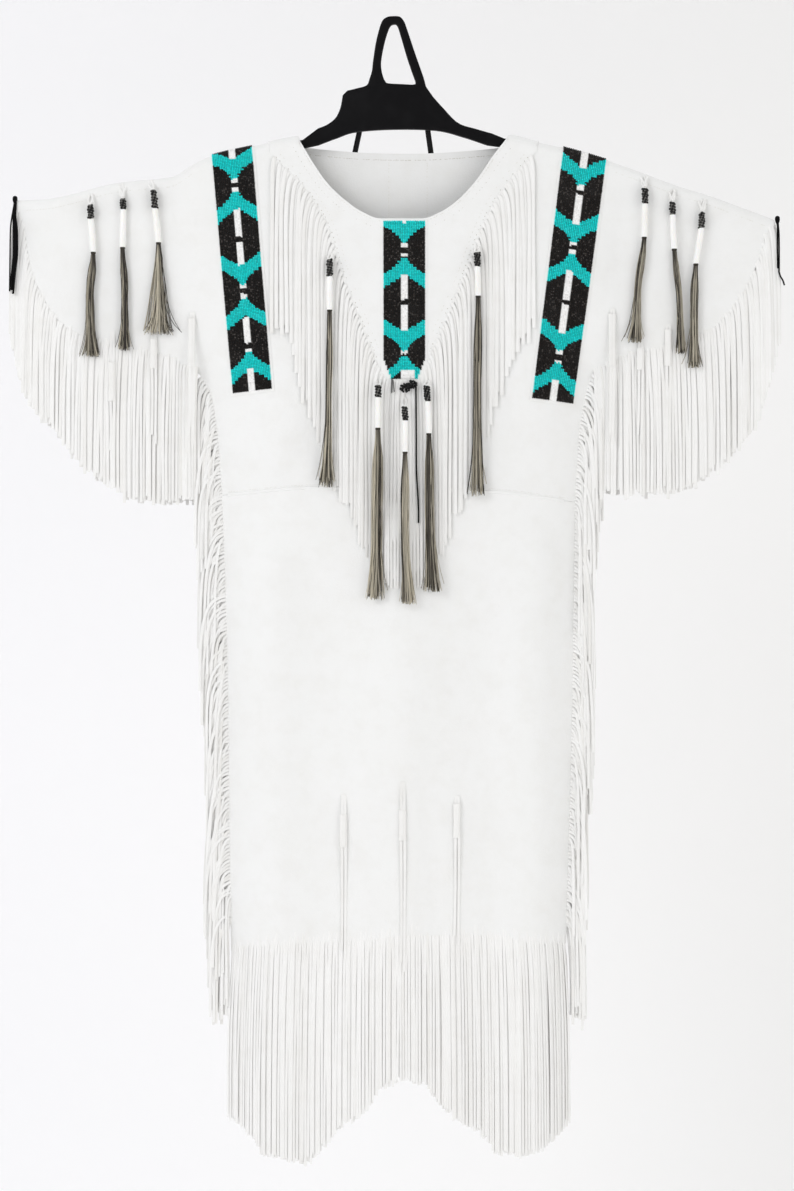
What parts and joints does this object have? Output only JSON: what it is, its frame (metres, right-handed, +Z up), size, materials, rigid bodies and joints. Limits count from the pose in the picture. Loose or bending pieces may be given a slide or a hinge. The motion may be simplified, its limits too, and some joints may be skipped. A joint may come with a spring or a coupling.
{
  "type": "beaded buckskin dress on a hanger",
  "caption": "White buckskin dress with cape sleeves, long fringe, bead strips and hair tassels, hanging open at neck, sleeves and hem on a flat black hanger.",
  "frame": {"origin": "inside top of the hanger's loop, where the hook or nail that carries it bears", "axes": "+Z up; the front of the dress faces -Y; +X is the wearer's left"},
  "size_m": [1.0006, 0.0927, 1.4819],
  "materials": {
    "buckskin": "matt white tanned buckskin with a soft nap",
    "beadwork": "opaque glass seed beads, black ground with turquoise and white figures",
    "hair": "straight grey-brown horsehair under a white tube and a black bead wrap",
    "black_thong": "black thong, slightly waxy",
    "hanger": "black moulded plastic, satin"
  },
  "bodies": {
    "root": {"hanger": "hanger", "hanger_bar": "hanger", "yoke_front": "buckskin", "yoke_back": "buckskin", "skirt_front": "buckskin", "skirt_back": "buckskin", "bib": "buckskin", "bead_strip_centre": "beadwork", "bead_strip_r": "beadwork", "bead_strip_l": "beadwork", "fringe_sleeve_r_front": "buckskin", "fringe_sleeve_r_back": "buckskin", "fringe_sleeve_l_front": "buckskin", "fringe_sleeve_l_back": "buckskin", "fringe_bib_r": "buckskin", "fringe_bib_l": "buckskin", "fringe_side_r": "buckskin", "fringe_side_l": "buckskin", "fringe_hem_front": "buckskin", "fringe_hem_back": "buckskin", "tassel_sleeve_r_1": "hair", "tassel_sleeve_r_2": "hair", "tassel_sleeve_r_3": "hair", "tassel_sleeve_l_1": "hair", "tassel_sleeve_l_2": "hair", "tassel_sleeve_l_3": "hair", "tassel_bib_r": "hair", "tassel_bib_l": "hair", "tassel_point_r": "hair", "tassel_point_m": "hair", "tassel_point_l": "hair", "tie_skirt_r": "buckskin", "tie_skirt_m": "buckskin", "tie_skirt_l": "buckskin", "tie_sleeve_r_1": "buckskin", "tie_sleeve_r_2": "buckskin", "tie_sleeve_r_3": "buckskin", "tie_sleeve_l_1": "buckskin", "tie_sleeve_l_2": "buckskin", "tie_sleeve_l_3": "buckskin", "cuff_thong_r": "black_thong", "cuff_thong_l": "black_thong", "bead_drop": "black_thong"}
  },
  "joints": []
}
